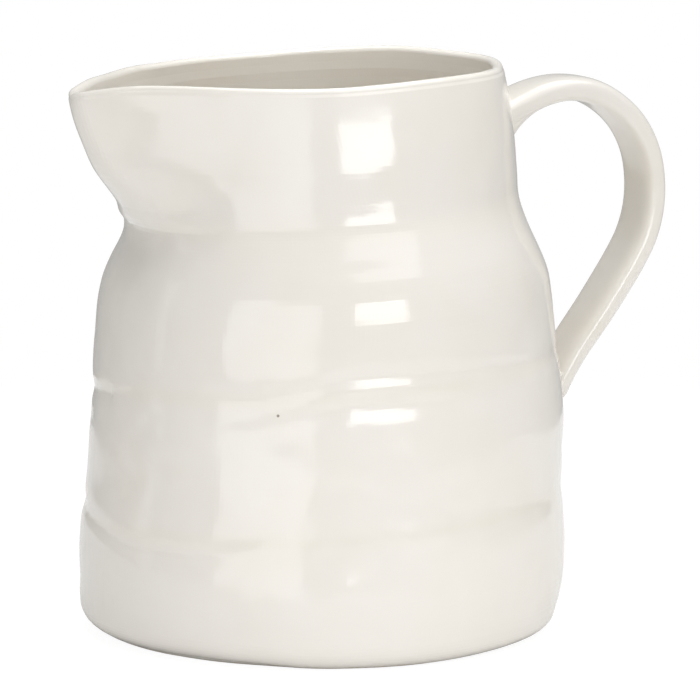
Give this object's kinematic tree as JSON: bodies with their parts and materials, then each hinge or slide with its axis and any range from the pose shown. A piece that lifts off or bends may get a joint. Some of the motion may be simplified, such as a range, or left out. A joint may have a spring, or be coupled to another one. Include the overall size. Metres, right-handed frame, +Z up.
{
  "type": "ceramic pitcher",
  "caption": "Squat hand-built ceramic pitcher with a round waisted body, a pinched pouring lip and a strap handle, glazed off-white.",
  "frame": {"origin": "centre of the foot, in the plane that the pitcher stands on, on the axis of the round neck", "axes": "+Z up along the axis, +X towards the handle, -X towards the pouring lip, Y across"},
  "size_m": [0.2304, 0.1724, 0.2019],
  "materials": {
    "glaze": "gloss"
  },
  "bodies": {
    "root": {"floor_slab": "glaze", "lower_band": "glaze", "middle_band": "glaze", "shoulder_band": "glaze", "neck_band": "glaze", "pouring_lip": "glaze", "handle_strap": "glaze", "upper_luting": "glaze", "lower_luting": "glaze"}
  },
  "joints": []
}
